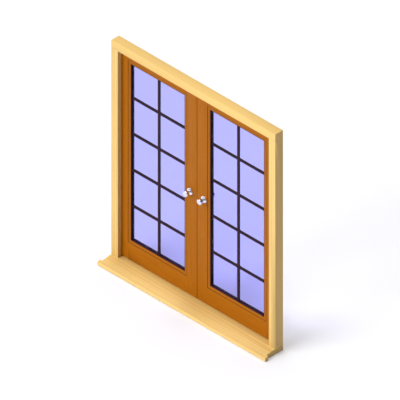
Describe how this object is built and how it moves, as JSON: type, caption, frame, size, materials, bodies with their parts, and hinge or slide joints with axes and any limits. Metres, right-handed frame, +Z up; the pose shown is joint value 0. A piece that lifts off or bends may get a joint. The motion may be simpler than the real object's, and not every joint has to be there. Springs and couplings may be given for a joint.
{
  "type": "french doors",
  "caption": "Pair of glazed timber french doors in a rebated frame with a projecting weathered sill; leaves open inwards, with knobs, latch and flush bolts.",
  "frame": {"origin": "middle of the sill's flat underside, straight below the outer face of the frame", "axes": "+Z up, +Y inwards through the wall, +X to the right as seen from outside"},
  "size_m": [1.85, 0.281, 2.092],
  "materials": {
    "frame_timber": "clear oiled softwood",
    "leaf_timber": "stained and varnished hardwood",
    "bead_timber": "dark stained hardwood",
    "pane": "tinted float glass",
    "knob_metal": "polished plate",
    "ironmongery": "satin steel",
    "seal": "extruded rubber",
    "brush_pile": "nylon pile"
  },
  "bodies": {
    "frame": {"sill": "frame_timber", "left_jamb": "frame_timber", "right_jamb": "frame_timber", "head": "frame_timber", "frame_seal": "seal", "left_frame_hinge_plates": "ironmongery", "right_frame_hinge_plates": "ironmongery", "left_hinge_pins": "ironmongery", "right_hinge_pins": "ironmongery", "frame_screws": "ironmongery", "head_bolt_keep": "ironmongery", "sill_bolt_keep": "ironmongery"},
    "left_leaf": {"left_hanging_stile": "leaf_timber", "left_meeting_stile": "leaf_timber", "left_top_rail": "leaf_timber", "left_bottom_rail": "leaf_timber", "left_glass": "pane", "left_outer_beads": "bead_timber", "left_inner_beads": "bead_timber", "left_outer_upright_bar": "bead_timber", "left_inner_upright_bar": "bead_timber", "left_outer_cross_bars": "bead_timber", "left_inner_cross_bars": "bead_timber", "left_bottom_brush": "brush_pile", "meeting_seal": "seal", "left_leaf_hinge_plates": "ironmongery", "left_screws": "ironmongery", "left_outer_rose": "knob_metal", "left_inner_rose": "knob_metal", "left_outer_knob": "knob_metal", "left_inner_knob": "knob_metal", "left_tie_bolt": "ironmongery", "latch_keep": "ironmongery", "top_bolt_plate": "ironmongery", "bottom_bolt_plate": "ironmongery"},
    "right_leaf": {"right_hanging_stile": "leaf_timber", "right_meeting_stile": "leaf_timber", "right_top_rail": "leaf_timber", "right_bottom_rail": "leaf_timber", "right_glass": "pane", "right_outer_beads": "bead_timber", "right_inner_beads": "bead_timber", "right_outer_upright_bar": "bead_timber", "right_inner_upright_bar": "bead_timber", "right_outer_cross_bars": "bead_timber", "right_inner_cross_bars": "bead_timber", "right_bottom_brush": "brush_pile", "right_leaf_hinge_plates": "ironmongery", "right_screws": "ironmongery", "right_outer_rose": "knob_metal", "right_inner_rose": "knob_metal", "latch_case": "ironmongery", "latch_forend": "ironmongery"},
    "knobs": {"right_outer_knob": "knob_metal", "right_inner_knob": "knob_metal", "right_spindle": "ironmongery", "latch_follower": "ironmongery"},
    "latch_bolt": {"latch_bolt": "ironmongery"},
    "top_bolt": {"top_flush_bolt": "ironmongery"},
    "bottom_bolt": {"bottom_flush_bolt": "ironmongery"}
  },
  "joints": [
    {"name": "left_leaf_swing", "type": "hinge", "parent": "frame", "child": "left_leaf", "pos_m": [-0.841, 0.0925, 1], "axis": [0, 0, 1], "range_deg": [0, 110]},
    {"name": "right_leaf_swing", "type": "hinge", "parent": "frame", "child": "right_leaf", "pos_m": [0.841, 0.0925, 1], "axis": [0, 0, -1], "range_deg": [0, 110]},
    {"name": "knob_turn", "type": "hinge", "parent": "right_leaf", "child": "knobs", "pos_m": [0.077, 0.064, 1.041], "axis": [0, -1, 0], "range_deg": [0, 45]},
    {"name": "latch_slide", "type": "slide", "parent": "right_leaf", "child": "latch_bolt", "axis": [-1, 0, 0], "range_m": [0, 0.011]},
    {"name": "top_bolt_slide", "type": "slide", "parent": "left_leaf", "child": "top_bolt", "axis": [0, 0, 1], "range_m": [0, 0.015]},
    {"name": "bottom_bolt_slide", "type": "slide", "parent": "left_leaf", "child": "bottom_bolt", "axis": [0, 0, -1], "range_m": [0, 0.015]}
  ],
  "couplings": [
    {"joint": "latch_slide", "follows": "knob_turn", "m_per_rad": 0.014}
  ]
}
